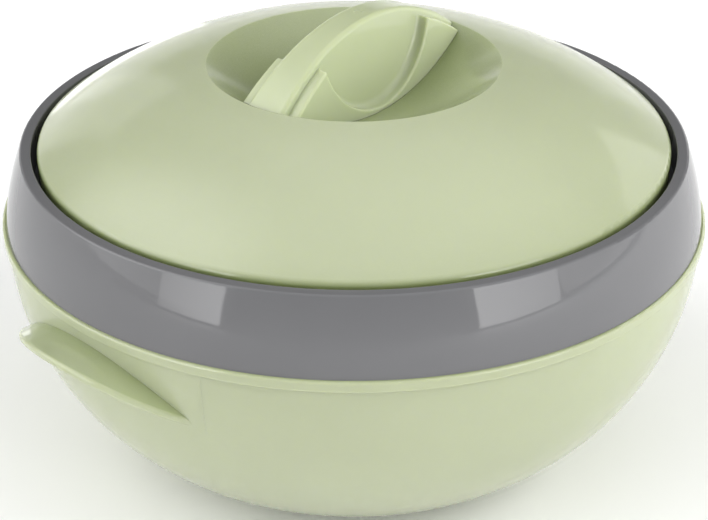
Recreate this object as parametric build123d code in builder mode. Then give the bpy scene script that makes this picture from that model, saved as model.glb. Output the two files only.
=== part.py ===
from build123d import *
import os
from math import cos, radians, sin, sqrt, tan

os.makedirs("parts", exist_ok=True)

# Bowl shell
rim_radius = 135.0  # outside of the bowl where the collar stands on it
rim_height = 98.0  # table to the bowl's rim
foot_radius = 73.0  # outer edge of the ring the bowl stands on
side_arc = 102.5  # radius of the rounded side
shell_wall = 2.5
foot_wall = 3.0  # flat width of the ring on the table
foot_height = 4.0  # hollow under the floor
foot_round = 0.8
bead_reach = 1.4  # rim bead, out past the collar's edge
bead_height = 4.0
bead_round = 1.0
fill_hole_radius = 7.0  # hole the foam is filled through

# Side grips, moulded on the shell
grip_drop = 8.5  # rim down to the top of the grip's arch
grip_arch = 68.7  # radius of the arch, seen from the side
grip_plan_arc = 53.0  # radius of the outer edge, seen from above
grip_reach = 15.0  # out past the rim
grip_wall = 3.0
grip_round = 1.2

# Plug in the filling hole
plug_cap_radius = 10.0
plug_cap_height = 1.5

# Collar
collar_height = 28.0
collar_lean = 7.4  # how far it leans in from the rim to its lip
collar_arc = 110.0  # radius of its outer face, seen in section
collar_wall = 2.2
lip_width = 4.2
lip_round = 1.0
seat_depth = 14.0  # lip down to the ledge that the lid rests on
seat_width = 10.0
tongue_depth = 6.0  # tongue that centres the collar inside the rim
tongue_web = 2.0

# Steel liner and its seal
liner_wall = 0.6
liner_inset = 0.8  # liner's wall, in from the ledge's edge
liner_straight = 13.8  # upright wall below the flange
floor_foam = 7.7  # from the shell's floor up to the liner's
flange_width = 8.0
flange_bend = 1.6
seal_height = 1.2
seal_inset = 0.8  # seal's edges, in from the ledge and the flange

# Lid cover
lid_gap = 2.2  # lid's edge to the collar's well
lid_edge_lift = 0.4  # lid's edge above the collar's lip
lid_edge_round = 3.5
lid_wall = 2.2
skirt_lift = 0.6  # skirt's lower edge above the ledge
dome_arc = 145.0  # radius of the dome, seen in section
dome_rise = 29.1  # lid's edge to the dish's rim
dish_radius = 56.0
dish_depth = 17.5
dish_rim_round = 0.8

# Inner lid and its gasket
pan_wall = 1.5
pan_seat = 2.4  # step inside the skirt that the pan's flange is pressed up to
pan_corner = 5.0
plug_depth = 7.0  # how far the pan reaches below the ledge
plug_gap = 1.5  # pan to liner
gasket_height = 1.5
gasket_width = 4.0
gasket_round = 0.4

# Grip bar across the dish
lid_turn = 8.5  # degrees that the lid is turned from the line through the side grips
handle_rise = 18.6  # top of the arch above the dish's rim
handle_arch = 87.0  # radius of the arch, seen from the side
arch_offset = 1.5  # top of the arch, along the bar from the lid's centre
web_half_width = 6.3  # at the top of the arch
web_draft = 5.4  # degrees
web_round = 1.8
ledge_half_width = 10.6
ledge_step = 3.0  # ledge below the top band
ledge_draft = 6.0  # degrees
ledge_round = 0.9
scoop_radius = 33.4  # finger scoop on each side
scoop_fillet = 2.4  # where its floor meets the band
core_wall = 2.3  # wall left round the handle's hollow
gate_mark_radius = 1.75
gate_mark_depth = 0.35
gate_mark_offset = 2.5  # along the bar from the lid's centre

# Screws that hold the handle from below
screw_offset = 36.0  # from the lid's centre
screw_radius = 1.5
screw_length = 16.0
screw_head_radius = 3.0
screw_head_height = 2.0
screw_slot = 0.9  # width and depth of the cross in the head
boss_radius = 4.2
pad_radius = 6.5
pad_height = 2.8  # under the dish, on the screw's axis

# Clearances
fit_gap = 0.2  # between pieces that are fixed together
handle_gap = 0.1  # between the handle and the dish
foam_gap = 0.3  # between the foam and its walls
overcut = 1.0  # how far a cutter runs past the face it opens


def arc_centre(start, end, arc):
    """Centre of the arc of this radius that runs counter-clockwise from start to end."""
    chord = Vector(*end) - Vector(*start)
    across_chord = Vector(-chord.Y, chord.X) / chord.length
    return (Vector(*start) + Vector(*end)) / 2 + across_chord * sqrt(arc**2 - (chord.length / 2) ** 2)


def out_at(centre, arc, height):
    """Radius from the axis of an arc's outer side at a height."""
    return centre.X + sqrt(arc**2 - (height - centre.Y) ** 2)


def up_at(centre, arc, radius):
    """Height of an arc's upper side at a radius from the axis."""
    return centre.Y + sqrt(arc**2 - (radius - centre.X) ** 2)


def near(profile, r, z):
    """The corner of a profile that lies nearest to a point."""
    return profile.vertices().sort_by_distance((r, z, 0))[0]


# Heights and radii that follow, from the table up
side_centre = arc_centre((foot_radius, 0), (rim_radius, rim_height), side_arc)
inner_arc = side_arc - shell_wall
floor_top = foot_height + shell_wall
bead_radius = rim_radius + bead_reach
bead_bottom = rim_height - bead_height
grip_centre_x = rim_radius + grip_reach - grip_plan_arc
lip_radius = rim_radius - collar_lean
well_radius = lip_radius - lip_width
seat_radius = well_radius - seat_width
collar_top = rim_height + collar_height
collar_centre = arc_centre((rim_radius, rim_height), (lip_radius, collar_top), collar_arc)
seat_height = collar_top - seat_depth
ledge_under = seat_height - collar_wall
tongue_outer = out_at(side_centre, inner_arc, rim_height) - fit_gap
tongue_inner = tongue_outer - collar_wall
tongue_bottom = rim_height - tongue_depth
liner_radius = seat_radius - liner_inset
flange_top = ledge_under - seal_height
flange_under = flange_top - liner_wall
flange_radius = liner_radius + flange_width
liner_bottom = floor_top + floor_foam
liner_arc = flange_under - liner_straight - liner_bottom
bend_radius = liner_radius - liner_arc
bend_height = liner_bottom + liner_arc
lid_radius = well_radius - lid_gap
lid_edge_height = collar_top + lid_edge_lift
dish_rim_height = lid_edge_height + dome_rise
dome_centre = arc_centre((lid_radius, lid_edge_height), (dish_radius, dish_rim_height), dome_arc)
dish_arc = (dish_radius**2 + dish_depth**2) / (2 * dish_depth)
dish_centre_z = dish_rim_height - dish_depth + dish_arc
skirt_bottom = seat_height + skirt_lift
skirt_inner = lid_radius - lid_wall
hollow_radius = skirt_inner - pan_seat
pan_under = seat_height + gasket_height
pan_top = pan_under + pan_wall
pan_plug_radius = liner_radius - liner_wall - plug_gap
pan_inner = pan_plug_radius - pan_wall
pan_bottom = seat_height - plug_depth
pan_floor = pan_bottom + pan_wall
handle_top = dish_rim_height + handle_rise
screw_seat = dish_centre_z - sqrt((dish_arc + lid_wall) ** 2 - screw_offset**2) - pad_height
screw_places = [(-screw_offset, 0), (screw_offset, 0)]

# Planes of the handle: looking along it, looking across it, and from above
turn = radians(lid_turn)
along = Vector(cos(turn), sin(turn), 0)
across = Vector(-sin(turn), cos(turn), 0)
handle_section = Plane(origin=(0, 0, 0), x_dir=across, z_dir=along)
handle_side = Plane(origin=(0, 0, 0), x_dir=along, z_dir=-across)
handle_plan = Plane(origin=(0, 0, 0), x_dir=along, z_dir=(0, 0, 1))

# Side grip: a thin arched shelf with a round outer edge
with BuildPart() as side_grip:
    with BuildSketch(Plane.YZ.offset(grip_centre_x)):
        with Locations((0, rim_height - grip_drop - grip_arch)):
            Circle(grip_arch)
            Circle(grip_arch - grip_wall, mode=Mode.SUBTRACT)
            Rectangle(3 * grip_arch, 2 * grip_arch, align=(Align.CENTER, Align.MAX), mode=Mode.SUBTRACT)
    extrude(amount=grip_plan_arc + overcut)
    with BuildSketch(Plane.XY):
        with Locations((grip_centre_x, 0)):
            Circle(grip_plan_arc)
    extrude(amount=rim_height, mode=Mode.INTERSECT)
    outer_face = side_grip.faces().sort_by(Axis.X)[-1]
    fillet(outer_face.edges().filter_by(GeomType.LINE, reverse=True), grip_round)

# Outer bowl: shell with the grips, the rim bead and the foot ring
with BuildPart() as outer_bowl:
    with BuildSketch(Plane.XZ) as bowl_outline:
        with BuildLine():
            side = RadiusArc(
                (foot_radius, 0),
                (out_at(side_centre, side_arc, bead_bottom), bead_bottom),
                -side_arc,
            )
            Polyline(
                side @ 1,
                (bead_radius, bead_bottom),
                (bead_radius, rim_height),
                (0, rim_height),
                (0, 0),
                side @ 0,
            )
        make_face()
        fillet(near(bowl_outline, bead_radius, rim_height), bead_round)
        fillet(near(bowl_outline, bead_radius, bead_bottom), bead_round / 2)
        fillet(near(bowl_outline, foot_radius, 0), foot_round)
    revolve(axis=Axis.Z)
    add(side_grip.part)
    add(side_grip.part.mirror(Plane.YZ))
    with BuildSketch(Plane.XZ):
        with BuildLine():
            inside = RadiusArc(
                (out_at(side_centre, inner_arc, floor_top), floor_top),
                (out_at(side_centre, inner_arc, rim_height), rim_height),
                -inner_arc,
            )
            Polyline(
                inside @ 1,
                inside @ 1 + Vector(0, overcut),
                (0, rim_height + overcut),
                (0, floor_top),
                inside @ 0,
            )
        make_face()
    revolve(axis=Axis.Z, mode=Mode.SUBTRACT)
    with BuildSketch(Plane.XY):
        Circle(foot_radius - foot_wall)
    extrude(amount=foot_height, mode=Mode.SUBTRACT)
    with BuildSketch(Plane.XY.offset(foot_height)):
        Circle(fill_hole_radius)
    extrude(amount=shell_wall + overcut, mode=Mode.SUBTRACT)
outer_bowl.part.label = "outer_bowl"
export_step(outer_bowl.part, "parts/outer_bowl.step")

# Plug that closes the filling hole
with BuildPart() as base_plug:
    with BuildSketch(Plane.XY.offset(foot_height - plug_cap_height)):
        Circle(plug_cap_radius)
    extrude(amount=plug_cap_height)
    with BuildSketch(Plane.XY.offset(foot_height)):
        Circle(fill_hole_radius - fit_gap)
    extrude(amount=shell_wall)
    chamfer(base_plug.edges().group_by(Axis.Z)[0], plug_cap_height / 3)
base_plug.part.label = "base_plug"
export_step(base_plug.part, "parts/base_plug.step")

# Collar: leaning outer wall, flat lip, well with the lid's ledge, tongue inside the rim
with BuildPart() as collar:
    with BuildSketch(Plane.XZ) as collar_outline:
        channel_arc = collar_arc - collar_wall
        channel_top = collar_top - 2 * collar_wall
        channel_bottom = rim_height + tongue_web
        with BuildLine():
            face = RadiusArc((rim_radius, rim_height), (lip_radius, collar_top), -collar_arc)
            back = RadiusArc(
                (out_at(collar_centre, channel_arc, channel_top), channel_top),
                (out_at(collar_centre, channel_arc, channel_bottom), channel_bottom),
                channel_arc,
            )
            Polyline(
                face @ 1,
                (well_radius, collar_top),
                (well_radius, seat_height),
                (seat_radius, seat_height),
                (seat_radius, ledge_under),
                (well_radius + collar_wall, ledge_under),
                (well_radius + collar_wall, channel_top),
                back @ 0,
            )
            Polyline(
                back @ 1,
                (tongue_inner, channel_bottom),
                (tongue_inner, tongue_bottom),
                (tongue_outer, tongue_bottom),
                (tongue_outer, rim_height),
                face @ 0,
            )
        make_face()
        fillet(near(collar_outline, lip_radius, collar_top), lip_round)
        fillet(near(collar_outline, well_radius, collar_top), lip_round / 2)
        fillet(near(collar_outline, seat_radius, seat_height), lip_round / 2)
    revolve(axis=Axis.Z)
collar.part.label = "collar"
export_step(collar.part, "parts/collar.step")

# Liner: pressed steel bowl with a flat floor and a flange under the collar's ledge
with BuildPart() as inner_liner:
    with BuildSketch(Plane.XZ) as liner_outline:
        inner_wall = liner_radius - liner_wall
        with BuildLine():
            outside = RadiusArc((bend_radius, liner_bottom), (liner_radius, bend_height), -liner_arc)
            inside = RadiusArc(
                (inner_wall, bend_height),
                (bend_radius, liner_bottom + liner_wall),
                liner_arc - liner_wall,
            )
            Polyline(
                outside @ 1,
                (liner_radius, flange_under),
                (flange_radius, flange_under),
                (flange_radius, flange_top),
                (inner_wall, flange_top),
                inside @ 0,
            )
            Polyline(inside @ 1, (0, liner_bottom + liner_wall), (0, liner_bottom), outside @ 0)
        make_face()
        fillet(near(liner_outline, liner_radius, flange_under), flange_bend)
        fillet(near(liner_outline, inner_wall, flange_top), flange_bend + liner_wall)
    revolve(axis=Axis.Z)
inner_liner.part.label = "inner_liner"
export_step(inner_liner.part, "parts/inner_liner.step")

# Seal between the liner's flange and the collar's ledge
with BuildPart() as liner_seal:
    with BuildSketch(Plane.XY.offset(flange_top)):
        Circle(flange_radius - seal_inset)
        Circle(seat_radius + seal_inset, mode=Mode.SUBTRACT)
    extrude(amount=seal_height)
liner_seal.part.label = "liner_seal"
export_step(liner_seal.part, "parts/liner_seal.step")

# Foam that fills the space between the shell and the liner
with BuildPart() as bowl_insulation:
    with BuildSketch(Plane.XZ) as bowl_foam_outline:
        foam_arc = inner_arc - foam_gap
        foam_bottom = floor_top + foam_gap
        foam_shoulder = tongue_bottom - foam_gap
        foam_top = flange_under - foam_gap
        foam_inner = liner_radius + foam_gap
        foam_outer = tongue_inner - foam_gap
        with BuildLine():
            outside = RadiusArc(
                (out_at(side_centre, foam_arc, foam_bottom), foam_bottom),
                (out_at(side_centre, foam_arc, foam_shoulder), foam_shoulder),
                -foam_arc,
            )
            inside = RadiusArc(
                (foam_inner, bend_height),
                (bend_radius, liner_bottom - foam_gap),
                liner_arc + foam_gap,
            )
            Polyline(
                outside @ 1,
                (foam_outer, foam_shoulder),
                (foam_outer, foam_top),
                (foam_inner, foam_top),
                inside @ 0,
            )
            Polyline(inside @ 1, (0, liner_bottom - foam_gap), (0, foam_bottom), outside @ 0)
        make_face()
        chamfer(near(bowl_foam_outline, foam_inner, foam_top), flange_bend)
    revolve(axis=Axis.Z)
bowl_insulation.part.label = "bowl_insulation"
export_step(bowl_insulation.part, "parts/bowl_insulation.step")

# Pads under the dish that the handle's screws pull against
with BuildPart() as screw_pads:
    with BuildSketch(handle_plan.offset(screw_seat)):
        with Locations(*screw_places):
            Circle(pad_radius)
    extrude(amount=dish_rim_height - screw_seat)
    with Locations((0, 0, dish_centre_z)):
        Sphere(dish_arc + lid_wall / 2, mode=Mode.SUBTRACT)

# Lid cover: dome with a round dish in its top and a skirt round its edge
with BuildPart() as lid_cover:
    with BuildSketch(Plane.XZ) as cover_outline:
        with BuildLine():
            dome = RadiusArc((lid_radius, lid_edge_height), (dish_radius, dish_rim_height), -dome_arc)
            Polyline(
                dome @ 1,
                (0, dish_rim_height),
                (0, skirt_bottom),
                (lid_radius, skirt_bottom),
                dome @ 0,
            )
        make_face()
        with Locations((0, dish_centre_z)):
            Circle(dish_arc, mode=Mode.SUBTRACT)
        fillet(near(cover_outline, lid_radius, lid_edge_height), lid_edge_round)
        fillet(near(cover_outline, dish_radius, dish_rim_height), dish_rim_round)
    revolve(axis=Axis.Z)
    with BuildSketch(Plane.XZ):
        under_arc = dome_arc - lid_wall
        with BuildLine():
            under_dome = RadiusArc(
                (hollow_radius, up_at(dome_centre, under_arc, hollow_radius)),
                (dish_radius, up_at(dome_centre, under_arc, dish_radius)),
                -under_arc,
            )
            Polyline(
                under_dome @ 1,
                (0, up_at(dome_centre, under_arc, dish_radius)),
                (0, skirt_bottom - overcut),
                (skirt_inner, skirt_bottom - overcut),
                (skirt_inner, pan_top),
                (hollow_radius, pan_top),
                under_dome @ 0,
            )
        make_face()
        with Locations((0, dish_centre_z)):
            Circle(dish_arc + lid_wall, mode=Mode.SUBTRACT)
    revolve(axis=Axis.Z, mode=Mode.SUBTRACT)
    add(screw_pads.part)
    with BuildSketch(handle_plan.offset(screw_seat)):
        with Locations(*screw_places):
            Circle(screw_radius + fit_gap)
    extrude(amount=dish_rim_height - screw_seat, mode=Mode.SUBTRACT)
lid_cover.part.label = "lid_cover"
export_step(lid_cover.part, "parts/lid_cover.step")

# Inner lid: a shallow pan that plugs the liner's mouth and closes the cover from below
with BuildPart() as lid_pan:
    with BuildSketch(Plane.XZ) as pan_outline:
        with BuildLine():
            Polyline(
                (0, pan_bottom),
                (pan_plug_radius, pan_bottom),
                (pan_plug_radius, pan_under),
                (skirt_inner - fit_gap, pan_under),
                (skirt_inner - fit_gap, pan_top),
                (pan_inner, pan_top),
                (pan_inner, pan_floor),
                (0, pan_floor),
                close=True,
            )
        make_face()
        fillet(near(pan_outline, pan_plug_radius, pan_bottom), pan_corner)
        fillet(near(pan_outline, pan_inner, pan_floor), pan_corner - pan_wall)
    revolve(axis=Axis.Z)
lid_pan.part.label = "lid_pan"
export_step(lid_pan.part, "parts/lid_pan.step")

# Soft ring under the pan's flange, which rests on the collar's ledge
with BuildPart() as lid_gasket:
    with BuildSketch(Plane.XY.offset(seat_height)):
        Circle(seat_radius + seal_inset + gasket_width)
        Circle(seat_radius + seal_inset, mode=Mode.SUBTRACT)
    extrude(amount=gasket_height)
    fillet(lid_gasket.edges().group_by(Axis.Z)[0], gasket_round)
lid_gasket.part.label = "lid_gasket"
export_step(lid_gasket.part, "parts/lid_gasket.step")

# Foam that fills the lid between the cover and the pan
with BuildPart() as lid_insulation:
    with BuildSketch(Plane.XZ) as lid_foam_outline:
        roof_arc = dome_arc - lid_wall - foam_gap
        foam_radius = hollow_radius - foam_gap
        foam_floor = pan_floor + foam_gap
        with BuildLine():
            roof = RadiusArc(
                (foam_radius, up_at(dome_centre, roof_arc, foam_radius)),
                (dish_radius, up_at(dome_centre, roof_arc, dish_radius)),
                -roof_arc,
            )
            Polyline(
                roof @ 1,
                (0, up_at(dome_centre, roof_arc, dish_radius)),
                (0, foam_floor),
                (pan_inner - foam_gap, foam_floor),
                (pan_inner - foam_gap, pan_top + foam_gap),
                (foam_radius, pan_top + foam_gap),
                roof @ 0,
            )
        make_face()
        with Locations((0, dish_centre_z)):
            Circle(dish_arc + lid_wall + foam_gap, mode=Mode.SUBTRACT)
        chamfer(near(lid_foam_outline, pan_inner - foam_gap, foam_floor), pan_corner - pan_wall)
    revolve(axis=Axis.Z)
    with BuildSketch(handle_plan.offset(screw_seat - screw_head_height - foam_gap)):
        with Locations(*screw_places):
            Circle(pad_radius + foam_gap)
    extrude(amount=dish_rim_height - screw_seat, mode=Mode.SUBTRACT)
lid_insulation.part.label = "lid_insulation"
export_step(lid_insulation.part, "parts/lid_insulation.step")


def drafted_section(half_width, draft):
    """Corners of a section across the handle: as wide as stated at the arch's top, wider below."""
    slope = tan(radians(draft))
    high = handle_top + overcut
    low = dish_rim_height - dish_depth - overcut
    high_half = half_width - overcut * slope
    low_half = half_width + (handle_top - low) * slope
    return [(-low_half, low), (low_half, low), (high_half, high), (-high_half, high)]


# Web of the handle: the arched band that runs from rim to rim
with BuildPart() as handle_web:
    with BuildSketch(handle_section):
        with BuildLine():
            Polyline(*drafted_section(web_half_width, web_draft), close=True)
        make_face()
    extrude(amount=dish_radius, both=True)
    with BuildSketch(handle_side):
        with Locations((arch_offset, handle_top - handle_arch)):
            Circle(handle_arch)
    extrude(amount=handle_arch, both=True, mode=Mode.INTERSECT)
    top_face = handle_web.faces().filter_by(GeomType.CYLINDER).sort_by(Axis.Z)[-1]
    fillet(top_face.edges().sort_by(SortBy.LENGTH)[-2:], web_round)

# Ledges beside the band, cut away in the middle by the finger scoops
with BuildPart() as handle_ledges:
    with BuildSketch(handle_section):
        with BuildLine():
            Polyline(*drafted_section(ledge_half_width, ledge_draft), close=True)
        make_face()
    extrude(amount=dish_radius, both=True)
    with BuildSketch(handle_side):
        with Locations((arch_offset, handle_top - handle_arch)):
            Circle(handle_arch - ledge_step)
    extrude(amount=handle_arch, both=True, mode=Mode.INTERSECT)
    with BuildSketch(handle_side):
        with Locations((0, handle_top)):
            Circle(scoop_radius)
    extrude(amount=handle_arch, both=True, mode=Mode.SUBTRACT)
    flats = handle_ledges.faces().filter_by(GeomType.PLANE)
    flanks = flats.filter_by(lambda face: abs(face.normal_at().dot(across)) > 0.5)
    fillet(flanks.edges().filter_by(GeomType.LINE, reverse=True), ledge_round)

# Lid handle: web and ledges in one moulding, hollow from below, with two screw bosses
with BuildPart() as lid_handle:
    add(handle_web.part)
    add(handle_ledges.part)
    feet = lid_handle.edges().filter_by(GeomType.ELLIPSE)
    fillet(feet.group_by(Axis.Z)[0], scoop_fillet)
    web_core = handle_arch - core_wall
    ledge_core = web_core - ledge_step
    core_centre = handle_top - handle_arch
    with BuildSketch(handle_side):
        with Locations((arch_offset, core_centre)):
            Circle(web_core)
    extrude(amount=web_half_width - core_wall, both=True, mode=Mode.SUBTRACT)
    with BuildSketch(handle_side):
        with Locations((arch_offset, core_centre)):
            Circle(ledge_core)
        Rectangle(2 * (scoop_radius + core_wall), 2 * handle_top, mode=Mode.SUBTRACT)
    extrude(amount=ledge_half_width - core_wall, both=True, mode=Mode.SUBTRACT)
    boss_bottom = dish_rim_height - dish_depth
    boss_top = core_centre + sqrt(web_core**2 - (screw_offset + arch_offset) ** 2)
    with BuildSketch(handle_plan.offset(boss_bottom)):
        with Locations(*screw_places):
            Circle(boss_radius)
    extrude(amount=boss_top - boss_bottom)
    with Locations((0, 0, dish_centre_z)):
        Sphere(dish_arc - handle_gap, mode=Mode.INTERSECT)
    with BuildSketch(handle_plan.offset(boss_bottom)):
        with Locations(*screw_places):
            Circle(screw_radius + fit_gap)
    extrude(amount=screw_seat + screw_length + overcut - boss_bottom, mode=Mode.SUBTRACT)
    with BuildSketch(handle_plan.offset(handle_top - gate_mark_depth)):
        with Locations((gate_mark_offset, 0)):
            Circle(gate_mark_radius)
    extrude(amount=overcut, mode=Mode.SUBTRACT)
lid_handle.part.label = "lid_handle"
export_step(lid_handle.part, "parts/lid_handle.step")

# Screws that hold the handle, driven up through the pads
with BuildPart() as handle_screws:
    with BuildSketch(handle_plan.offset(screw_seat - screw_head_height)):
        with Locations(*screw_places):
            Circle(screw_head_radius)
    extrude(amount=screw_head_height)
    fillet(handle_screws.edges().group_by(Axis.Z)[0], screw_head_height / 3)
    with BuildSketch(handle_plan.offset(screw_seat)):
        with Locations(*screw_places):
            Circle(screw_radius)
    extrude(amount=screw_length)
    with BuildSketch(handle_plan.offset(screw_seat - screw_head_height)):
        with Locations(*screw_places):
            Rectangle(screw_head_radius, screw_slot)
            Rectangle(screw_slot, screw_head_radius)
    extrude(amount=screw_slot, mode=Mode.SUBTRACT)
handle_screws.part.label = "handle_screws"
export_step(handle_screws.part, "parts/handle_screws.step")
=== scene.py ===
from math import cos, pi, radians, sin

import bpy
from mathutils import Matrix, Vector


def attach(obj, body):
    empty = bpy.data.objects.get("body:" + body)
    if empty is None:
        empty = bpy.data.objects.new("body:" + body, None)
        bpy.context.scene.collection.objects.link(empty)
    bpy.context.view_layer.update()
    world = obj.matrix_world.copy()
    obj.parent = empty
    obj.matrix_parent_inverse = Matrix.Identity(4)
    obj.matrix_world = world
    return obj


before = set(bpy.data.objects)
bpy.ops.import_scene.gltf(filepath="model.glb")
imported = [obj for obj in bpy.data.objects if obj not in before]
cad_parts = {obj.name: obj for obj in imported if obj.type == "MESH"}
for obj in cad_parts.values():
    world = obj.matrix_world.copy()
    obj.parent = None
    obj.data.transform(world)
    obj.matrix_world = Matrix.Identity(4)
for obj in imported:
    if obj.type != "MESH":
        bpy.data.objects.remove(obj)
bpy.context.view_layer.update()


# Outer bowl: the pale green polypropylene shell, injection moulded in one shot with its two side
# grips. The polished mould leaves it glossy with a faint orange peel, and the foot ring is scuffed
# where it slides over tables.
def start_material(name):
    """A new node material, its node tree, its shader and the piece's own coordinates."""
    material = bpy.data.materials.new(name)
    material.use_nodes = True
    tree = material.node_tree
    place = tree.nodes.new("ShaderNodeTexCoord").outputs["Object"]
    return material, tree, tree.nodes["Principled BSDF"], place


def add_noise(tree, place, per_metre, detail):
    """Noise with this many lumps to a metre."""
    noise = tree.nodes.new("ShaderNodeTexNoise")
    noise.inputs["Scale"].default_value = per_metre
    noise.inputs["Detail"].default_value = detail
    tree.links.new(place, noise.inputs["Vector"])
    return noise.outputs["Fac"]


noise_span = (0.3, 0.7)  # nearly all of a noise lies in here


def add_range(tree, source, span, result=(0.0, 1.0)):
    """A span of the source laid over the result's span, and held at its ends."""
    laid = tree.nodes.new("ShaderNodeMapRange")
    sockets = ("From Min", "From Max", "To Min", "To Max")
    for socket, number in zip(sockets, (*span, *result)):
        laid.inputs[socket].default_value = number
    tree.links.new(source, laid.inputs["Value"])
    return laid.outputs["Result"]


def add_shades(tree, source, span, dark, light):
    """Linear colours from dark to light over a span of the source."""
    ramp = tree.nodes.new("ShaderNodeValToRGB")
    for end, at, colour in zip(ramp.color_ramp.elements, span, (dark, light)):
        end.position = at
        end.color = (*colour, 1.0)
    tree.links.new(source, ramp.inputs["Fac"])
    return ramp.outputs["Color"]


def times(share, colour):
    """The colour made darker or lighter by a share."""
    return tuple(share * part for part in colour)


def add_product(tree, first, second):
    """Two shares multiplied."""
    product = tree.nodes.new("ShaderNodeMath")
    product.operation = "MULTIPLY"
    tree.links.new(first, product.inputs[0])
    tree.links.new(second, product.inputs[1])
    return product.outputs["Value"]


def add_height(tree, vector):
    """The upright part of a place or direction."""
    parts = tree.nodes.new("ShaderNodeSeparateXYZ")
    tree.links.new(vector, parts.inputs["Vector"])
    return parts.outputs["Z"]


def add_bump(tree, shader, height, depth):
    """Bumps of this depth in metres, on top of the shader's earlier ones."""
    bump = tree.nodes.new("ShaderNodeBump")
    bump.inputs["Strength"].default_value = 1.0
    bump.inputs["Distance"].default_value = depth
    tree.links.new(height, bump.inputs["Height"])
    for link in list(shader.inputs["Normal"].links):
        tree.links.new(link.from_socket, bump.inputs["Normal"])
    tree.links.new(bump.outputs["Normal"], shader.inputs["Normal"])


def add_over(tree, shader, socket, share, top):
    """A colour or number laid over what the shader's socket has, by a share from 0 to 1."""
    mix = tree.nodes.new("ShaderNodeMix")
    kind = shader.inputs[socket].type
    mix.data_type = "RGBA" if kind == "RGBA" else "FLOAT"
    base, over = [found for found in mix.inputs if found.name in "AB" and found.type == kind]
    over.default_value = (*top, 1.0) if kind == "RGBA" else top
    tree.links.new(shader.inputs[socket].links[0].from_socket, base)
    tree.links.new(share, mix.inputs["Factor"])
    result = [found for found in mix.outputs if found.type == kind][0]
    tree.links.new(result, shader.inputs[socket])


shading_rays = 4


def add_edges(tree, reach):
    """A share that rises within this reach of an edge, to a half at a sharp one."""
    flat, sharp, most_wear_and_highlight = 0.985, 0.8, 0.5
    bevel = tree.nodes.new("ShaderNodeBevel")
    bevel.samples = shading_rays
    bevel.inputs["Radius"].default_value = reach
    face = tree.nodes.new("ShaderNodeNewGeometry")
    turn = tree.nodes.new("ShaderNodeVectorMath")
    turn.operation = "DOT_PRODUCT"
    tree.links.new(bevel.outputs["Normal"], turn.inputs[0])
    tree.links.new(face.outputs["Normal"], turn.inputs[1])
    return add_range(tree, turn.outputs["Value"], (flat, sharp), (0.0, most_wear_and_highlight))


def add_hollows(tree, reach, deepest):
    """A share from 0 on open faces to 1 in hollows that leave only the deepest share open, to this reach."""
    open_face = 0.95
    shut = tree.nodes.new("ShaderNodeAmbientOcclusion")
    shut.samples = shading_rays
    shut.inputs["Distance"].default_value = reach
    return add_range(tree, shut.outputs["AO"], (open_face, deepest))


def moulded_plastic(name, colour, wear_and_highlight, roughness):
    """Injection moulded plastic: clouded colour, edges painted paler for wear and highlight, uneven gloss,
    sink waves, orange peel.
    """
    cloud_span, cloud_dark, cloud_light = (0.32, 0.68), 0.97, 1.03
    most_gloss, least_gloss = 0.8, 1.25
    wear_and_highlight_reach = 0.0007
    wave_depth, peel_depth = 0.00006, 0.000003
    material, tree, shader, place = start_material(name)
    cloud = add_noise(tree, place, per_metre=14, detail=3)
    clouded = add_shades(tree, cloud, cloud_span, times(cloud_dark, colour), times(cloud_light, colour))
    tree.links.new(clouded, shader.inputs["Base Color"])
    # Painted highlight: edges are painted paler, partly wear and partly the bright line that light leaves
    # along rounded edges.
    add_over(tree, shader, "Base Color", add_edges(tree, wear_and_highlight_reach), wear_and_highlight)
    smear = add_noise(tree, place, per_metre=40, detail=4)
    gloss = add_range(tree, smear, noise_span, (roughness * most_gloss, roughness * least_gloss))
    tree.links.new(gloss, shader.inputs["Roughness"])
    add_bump(tree, shader, add_noise(tree, place, per_metre=26, detail=0), wave_depth)
    add_bump(tree, shader, add_noise(tree, place, per_metre=260, detail=1), peel_depth)
    shader.inputs["IOR"].default_value = 1.5
    return material, tree, shader, place


green = (0.388, 0.421, 0.279)
wear_and_highlight_green = (0.47, 0.505, 0.36)
hollow_painted_shade_green = (0.315, 0.368, 0.176)
scuffed_green = (0.52, 0.55, 0.44)


def green_plastic(name, colour, roughness):
    """The bowl's green, which light enters by a few millimetres."""
    material, tree, shader, place = moulded_plastic(name, colour, wear_and_highlight_green, roughness)
    shader.inputs["Subsurface Weight"].default_value = 0.6
    shader.inputs["Subsurface Radius"].default_value = (1.0, 1.0, 0.6)
    shader.inputs["Subsurface Scale"].default_value = 0.004
    return material, tree, shader, place


upward_span = (0.1, 0.5)  # from a nearly upright face to one that looks well up
scuff_heights = (0.0045, 0.0004)
scuff_span = (0.45, 0.62)
most_scuffed = 0.8
scuffed_roughness = 0.55
bowl_green, tree, shader, place = green_plastic("bowl_green", green, roughness=0.09)
# Painted shade: faces that look up and lie in hollows, such as the grip's top, are painted a deeper green
# where light bounced off the green shell would fall.
face = tree.nodes.new("ShaderNodeNewGeometry")
upward = add_range(tree, add_height(tree, face.outputs["Normal"]), upward_span)
painted_shade_share = add_product(tree, upward, add_hollows(tree, reach=0.035, deepest=0.45))
add_over(tree, shader, "Base Color", painted_shade_share, hollow_painted_shade_green)
near_table = add_range(tree, add_height(tree, place), scuff_heights)
scuffs = add_noise(tree, place, per_metre=420, detail=5)
scuffed = add_product(tree, near_table, add_range(tree, scuffs, scuff_span, (0.0, most_scuffed)))
add_over(tree, shader, "Base Color", scuffed, scuffed_green)
add_over(tree, shader, "Roughness", scuffed, scuffed_roughness)
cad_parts["outer_bowl"].data.materials[0] = bowl_green

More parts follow.
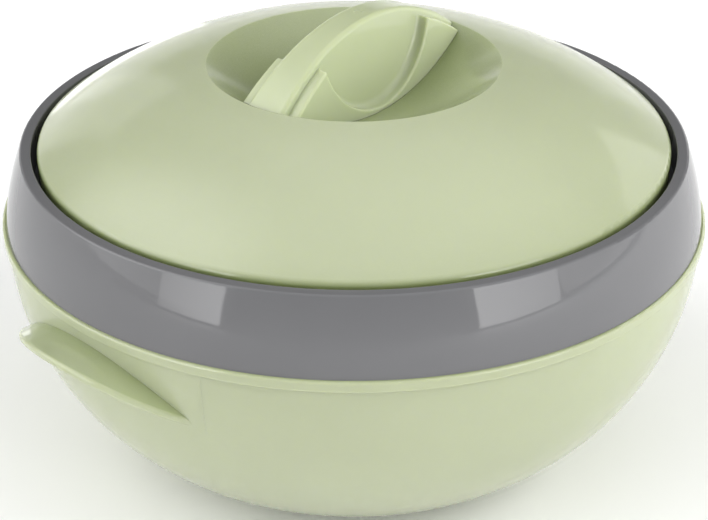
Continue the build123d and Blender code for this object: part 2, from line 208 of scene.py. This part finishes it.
# Mould lines: the mould that forms each side grip is a sliding block, and its two upright edges leave
# a hair-thin raised line in the shell, from the rim bead down to the height of the grip's ends.
# They are the same plastic as the shell, too fine for light to enter.
side_arc = 0.1025  # the shell's section: radius, then centre
side_centre_out = 0.03257
side_centre_up = 0.09419
line_azimuths = (22.5, 157.5, 202.5, 337.5)
line_radius = 0.00020
line_sunk = 0.00013
line_top = 0.0938
line_bottom = 0.0675
line_inside = 0.09  # the part of the ring that is nearer to the axis goes
line_out = Vector((cos(radians(line_azimuths[0])), sin(radians(line_azimuths[0])), 0))
bpy.ops.object.select_all(action="DESELECT")
bpy.ops.mesh.primitive_torus_add(
    location=line_out * side_centre_out + Vector((0, 0, side_centre_up)),
    rotation=(pi / 2, 0, radians(line_azimuths[0])),
    major_radius=side_arc - line_sunk,
    minor_radius=line_radius,
    major_segments=480,
    minor_segments=10,
)
mould_lines = bpy.context.object
mould_lines.name = "mould_lines"
bpy.ops.object.transform_apply(location=True, rotation=True, scale=True)
bpy.ops.object.mode_set(mode="EDIT")
line_cuts = (
    ((0, 0, line_top), (0, 0, 1)),
    ((0, 0, line_bottom), (0, 0, -1)),
    (line_out * line_inside, -line_out),
)
for at, towards in line_cuts:
    bpy.ops.mesh.select_all(action="SELECT")
    bpy.ops.mesh.bisect(plane_co=at, plane_no=towards, clear_outer=True, use_fill=True)
bpy.ops.object.mode_set(mode="OBJECT")
lines = [mould_lines]
for azimuth in line_azimuths[1:]:
    bpy.ops.object.select_all(action="DESELECT")
    mould_lines.select_set(True)
    bpy.context.view_layer.objects.active = mould_lines
    bpy.ops.object.duplicate()
    lines.append(bpy.context.object)
    lines[-1].rotation_euler.z = radians(azimuth - line_azimuths[0])
    bpy.ops.object.transform_apply(location=True, rotation=True, scale=True)
for line in lines:
    line.select_set(True)
bpy.context.view_layer.objects.active = mould_lines
bpy.ops.object.join()
bpy.ops.object.shade_smooth_by_angle(angle=radians(50))
line_green = moulded_plastic("line_green", green, wear_and_highlight_green, roughness=0.2)[0]
mould_lines.data.materials.append(line_green)
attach(mould_lines, "bowl")

# Base plug: a small push-in cap of the same green plastic that closes the hole the foam was filled
# through, seen only when the bowl is turned over.
plug_green = green_plastic("plug_green", green, roughness=0.3)[0]
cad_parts["base_plug"].data.materials[0] = plug_green

# Bowl foam: rigid polyurethane foam blown into the space between the shell and the liner, cream
# coloured, with a skin of small open cells. It is shut in on all sides. The lid holds the same foam.
foam_tan, foam_pale = (0.78, 0.68, 0.42), (0.88, 0.80, 0.56)
cell_span, cell_gloss = (0.0, 0.8), (0.95, 0.75)
cell_depth = 0.0004
foam_cream, tree, shader, place = start_material("foam_cream")
cells = tree.nodes.new("ShaderNodeTexVoronoi")
cells.inputs["Scale"].default_value = 900
tree.links.new(place, cells.inputs["Vector"])
patches = add_noise(tree, place, per_metre=60, detail=5)
tree.links.new(add_shades(tree, patches, noise_span, foam_tan, foam_pale), shader.inputs["Base Color"])
cell_walls = cells.outputs["Distance"]
tree.links.new(add_range(tree, cell_walls, cell_span, cell_gloss), shader.inputs["Roughness"])
add_bump(tree, shader, cell_walls, cell_depth)
for name in ("bowl_insulation", "lid_insulation"):
    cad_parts[name].data.materials[0] = foam_cream


# Inner liner: a bowl of thin stainless steel, spun and pressed, with the fine rings that the polishing
# wheel leaves all round it. Its flange is held down by the collar.
def turned_steel(name, dark, light, rings_per_metre, roughness):
    """Steel with fine rings round the upright axis, and duller marks of use."""
    ring_depth = 0.000004
    most_gloss, least_gloss = 0.75, 1.3
    mark_span, most_marked, mark_gloss = (0.5, 0.75), 0.5, 1.8
    material, tree, shader, place = start_material(name)
    reach = tree.nodes.new("ShaderNodeVectorMath")
    reach.operation = "LENGTH"
    tree.links.new(place, reach.inputs[0])
    ring = tree.nodes.new("ShaderNodeTexNoise")
    ring.noise_dimensions = "1D"
    ring.inputs["Scale"].default_value = rings_per_metre
    ring.inputs["Detail"].default_value = 4.0
    tree.links.new(reach.outputs["Value"], ring.inputs["W"])
    rings = ring.outputs["Fac"]
    tree.links.new(add_shades(tree, rings, noise_span, dark, light), shader.inputs["Base Color"])
    gloss = add_range(tree, rings, noise_span, (roughness * most_gloss, roughness * least_gloss))
    tree.links.new(gloss, shader.inputs["Roughness"])
    marks = add_noise(tree, place, per_metre=30, detail=5)
    marked = add_range(tree, marks, mark_span, (0.0, most_marked))
    add_over(tree, shader, "Roughness", marked, roughness * mark_gloss)
    add_bump(tree, shader, rings, ring_depth)
    shader.inputs["Metallic"].default_value = 1.0
    return material


liner_dark, liner_light = (0.50, 0.50, 0.50), (0.63, 0.63, 0.62)
liner_steel = turned_steel("liner_steel", liner_dark, liner_light, rings_per_metre=1600, roughness=0.24)
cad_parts["inner_liner"].data.materials[0] = liner_steel


# Liner seal: a flat ring of soft pale silicone, moulded and laid between the liner's flange and the
# underside of the collar's ledge, so that no water gets to the foam.
def soft_rubber(name, colour):
    """Dull moulded silicone that holds a little dust."""
    dust_grey = (0.82, 0.82, 0.80)
    dust_span, most_dusty = (0.55, 0.7), 0.4
    cloud_dark, cloud_light = 0.93, 1.04
    dull_span = (0.42, 0.62)
    grain_depth = 0.00001
    material, tree, shader, place = start_material(name)
    cloud = add_noise(tree, place, per_metre=90, detail=4)
    clouded = add_shades(tree, cloud, noise_span, times(cloud_dark, colour), times(cloud_light, colour))
    tree.links.new(clouded, shader.inputs["Base Color"])
    dust = add_noise(tree, place, per_metre=700, detail=3)
    dusty = add_range(tree, dust, dust_span, (0.0, most_dusty))
    add_over(tree, shader, "Base Color", dusty, dust_grey)
    smear = add_noise(tree, place, per_metre=160, detail=3)
    tree.links.new(add_range(tree, smear, noise_span, dull_span), shader.inputs["Roughness"])
    add_bump(tree, shader, add_noise(tree, place, per_metre=1200, detail=2), grain_depth)
    shader.inputs["IOR"].default_value = 1.42
    return material


seal_rubber = soft_rubber("seal_rubber", (0.60, 0.61, 0.58))
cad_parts["liner_seal"].data.materials[0] = seal_rubber

# Collar: a grey gloss plastic ring pressed on the bowl's rim, with a flat lip and the well that the
# lid lies in. Its mould was mirror polished, so lamps show in it with sharp edges.
collar_grey = (0.135, 0.135, 0.140)
wear_and_highlight_grey = (0.18, 0.18, 0.19)
# Its edges are painted a lighter grey, partly rubbed wear and partly painted highlight.
collar_gloss, _, shader, _ = moulded_plastic("collar_gloss", collar_grey, wear_and_highlight_grey, roughness=0.05)
shader.inputs["IOR"].default_value = 1.43
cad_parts["collar"].data.materials[0] = collar_gloss

# Lid cover: a moulded dome, green like the bowl and nearly as glossy, with a round dish for the
# fingers. The dish's hollows are painted a deeper green, a painted shade for light that has already
# been on the dish's green wall.
dome_green = (0.403, 0.438, 0.292)
dish_painted_shade_green = (0.240, 0.288, 0.122)
lid_green, tree, shader, _ = green_plastic("lid_green", dome_green, roughness=0.12)
add_over(tree, shader, "Base Color", add_hollows(tree, reach=0.12, deepest=0.58), dish_painted_shade_green)
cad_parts["lid_cover"].data.materials[0] = lid_green

# Lid handle: the grip bar is a separate hollow moulding of the same green, screwed into the dish from
# below. Its walls are thin, and its colour is painted a little lighter than the lid's, painted light
# for the light that comes through them.
handle_painted_light_green = (0.432, 0.478, 0.300)
handle_green = green_plastic("handle_green", handle_painted_light_green, roughness=0.14)[0]
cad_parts["lid_handle"].data.materials[0] = handle_green

# Lid pan: the inner lid that faces the food, moulded in the same green with a duller finish and
# pressed into the cover's skirt from below.
pan_green = green_plastic("pan_green", green, roughness=0.32)[0]
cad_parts["lid_pan"].data.materials[0] = pan_green

# Lid gasket: a soft ring of moulded silicone under the pan's flange. It rests on the collar's ledge
# and keeps the warmth in.
gasket_rubber = soft_rubber("gasket_rubber", (0.63, 0.64, 0.61))
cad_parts["lid_gasket"].data.materials[0] = gasket_rubber

# Handle screws: two zinc-plated steel pan-head screws, driven up through the dish into the handle's
# bosses. They are turned, and a little uneven in their plating.
zinc_dark, zinc_light = (0.36, 0.36, 0.35), (0.52, 0.52, 0.50)
screw_steel = turned_steel("screw_steel", zinc_dark, zinc_light, rings_per_metre=3000, roughness=0.34)
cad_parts["handle_screws"].data.materials[0] = screw_steel

# Table: a wide white top, dull and almost even in shade, a hair below the foot ring so that the two
# faces don't meet.
table_shades = ((0.91, 0.91, 0.91), (0.93, 0.93, 0.93))
table_sunk = 0.0002
bpy.ops.object.select_all(action="DESELECT")
bpy.ops.mesh.primitive_plane_add(size=60.0, location=(0, 0, -table_sunk))
table = bpy.context.object
table.name = "table"
bpy.ops.object.transform_apply(location=True, rotation=True, scale=True)
table_white, tree, shader, place = start_material("table_white")
patches = add_noise(tree, place, per_metre=3, detail=2)
tree.links.new(add_shades(tree, patches, noise_span, *table_shades), shader.inputs["Base Color"])
shader.inputs["Roughness"].default_value = 0.7
table.data.materials.append(table_white)

# Camera: it looks down on the bowl from between one grip and the plain side, through a long lens,
# and the bowl fills the picture. Colours are shown as they are.
camera_azimuth = -45.0
aim = Vector((0, 0, 0.0693))


def seen_from(azimuth, rise):
    """Direction out of the bowl: degrees round from -Y towards +X, and degrees up."""
    round_by, up_by = radians(azimuth), radians(rise)
    return Vector((sin(round_by) * cos(up_by), -cos(round_by) * cos(up_by), sin(up_by)))


def set_up(thing, azimuth, rise, reach):
    """Puts a camera or lamp into the scene at this reach from the aim, facing it."""
    outward = seen_from(azimuth, rise)
    thing.location = aim + reach * outward
    thing.rotation_euler = (-outward).to_track_quat("-Z", "Y").to_euler()
    bpy.context.scene.collection.objects.link(thing)


lens = bpy.data.cameras.new("camera")
lens.sensor_width = 36.0
lens.lens = 93.46
camera = bpy.data.objects.new("camera", lens)
set_up(camera, camera_azimuth, rise=28.74, reach=0.7366)
bpy.context.scene.camera = camera
bpy.context.scene.view_settings.view_transform = "Standard"

# Room: dim white walls that glow overhead, twice on the left, along the horizon, on the right and
# low down at the far left. Each glow fades out softly. Azimuths count from the camera to its right.
room = bpy.data.worlds.new("room")
room.use_nodes = True
bpy.context.scene.world = room
walls = room.node_tree.nodes["Background"]
walls.inputs["Color"].default_value = (1.0, 1.0, 1.0, 1.0)
walls.inputs["Strength"].default_value = 0.05


def add_glow(azimuth, rise, edge, brightness):
    """Light from a wide side of the room, fading out where the cosine from its middle is the edge."""
    nodes, links = room.node_tree.nodes, room.node_tree.links
    turn = nodes.new("ShaderNodeVectorMath")
    turn.operation = "DOT_PRODUCT"
    turn.inputs[1].default_value = seen_from(camera_azimuth + azimuth, rise)
    links.new(nodes.new("ShaderNodeTexCoord").outputs["Generated"], turn.inputs[0])
    fade = nodes.new("ShaderNodeMapRange")
    fade.interpolation_type = "SMOOTHSTEP"
    fade.inputs["From Min"].default_value = edge
    fade.inputs["To Max"].default_value = brightness
    links.new(turn.outputs["Value"], fade.inputs["Value"])
    total = nodes.new("ShaderNodeMath")
    total.inputs[1].default_value = walls.inputs["Strength"].default_value
    for link in list(walls.inputs["Strength"].links):
        links.new(link.from_socket, total.inputs[1])
    links.new(fade.outputs["Result"], total.inputs[0])
    links.new(total.outputs["Value"], walls.inputs["Strength"])


add_glow(azimuth=0, rise=90, edge=0.55, brightness=0.88)
add_glow(azimuth=-90, rise=38, edge=0.76, brightness=2.35)
add_glow(azimuth=-70, rise=20, edge=0.78, brightness=1.3)
add_glow(azimuth=0, rise=-90, edge=-0.4, brightness=3.2)
add_glow(azimuth=60, rise=28, edge=0.8, brightness=0.95)
add_glow(azimuth=-100, rise=8, edge=0.84, brightness=0.4)


# Soft boxes: two upright ones in front, which the collar mirrors, and one high on the right that
# doesn't show in gloss. Long low panels stand at the right and behind, a strip at the back left, and
# a small bright card there on the table puts the white glint on the lid's edge.
def add_soft_box(name, azimuth, rise, reach, width, height, brightness, mirrored=True):
    """A lamp with a flat face towards the bowl, this bright as radiance. Metres and degrees."""
    lamp = bpy.data.lights.new(name, "AREA")
    lamp.shape = "RECTANGLE"
    lamp.size, lamp.size_y = width, height
    lamp.energy = brightness * width * height * pi
    box = bpy.data.objects.new(name, lamp)
    set_up(box, camera_azimuth + azimuth, rise, reach)
    box.visible_camera = False
    box.visible_glossy = mirrored
    return lamp


def fade_across(lamp, left, right):
    """Changes a soft box's brightness evenly from its left side to its right, by these shares."""
    lamp.use_nodes = True
    tree = lamp.node_tree
    face = tree.nodes.new("ShaderNodeNewGeometry")
    across = tree.nodes.new("ShaderNodeSeparateXYZ")
    tree.links.new(face.outputs["Parametric"], across.inputs["Vector"])
    share = add_range(tree, across.outputs["X"], (0.0, 1.0), (left, right))
    tree.links.new(share, tree.nodes["Emission"].inputs["Strength"])


left_box = add_soft_box("left_box", -49.0, 11.8, 1.64, width=0.595, height=0.76, brightness=4.4)
fade_across(left_box, left=0.35, right=1.15)
right_box = add_soft_box("right_box", 49.7, 11.6, 1.64, width=0.80, height=0.76, brightness=4.5)
fade_across(right_box, left=1.15, right=0.55)
add_soft_box("right_high_box", 75.0, 38.0, 1.9, width=1.3, height=1.0, brightness=4.2, mirrored=False)
add_soft_box("left_strip", -150.0, 14.0, 2.0, width=0.6, height=1.0, brightness=0.5)
add_soft_box("right_panel", 102.0, 16.0, 2.0, width=3.1, height=1.2, brightness=0.9)
add_soft_box("back_panel", 180.0, 6.0, 2.2, width=2.2, height=0.55, brightness=0.3)
add_soft_box("left_card", -157.0, -2.4, 0.57, width=0.20, height=0.085, brightness=1.25)
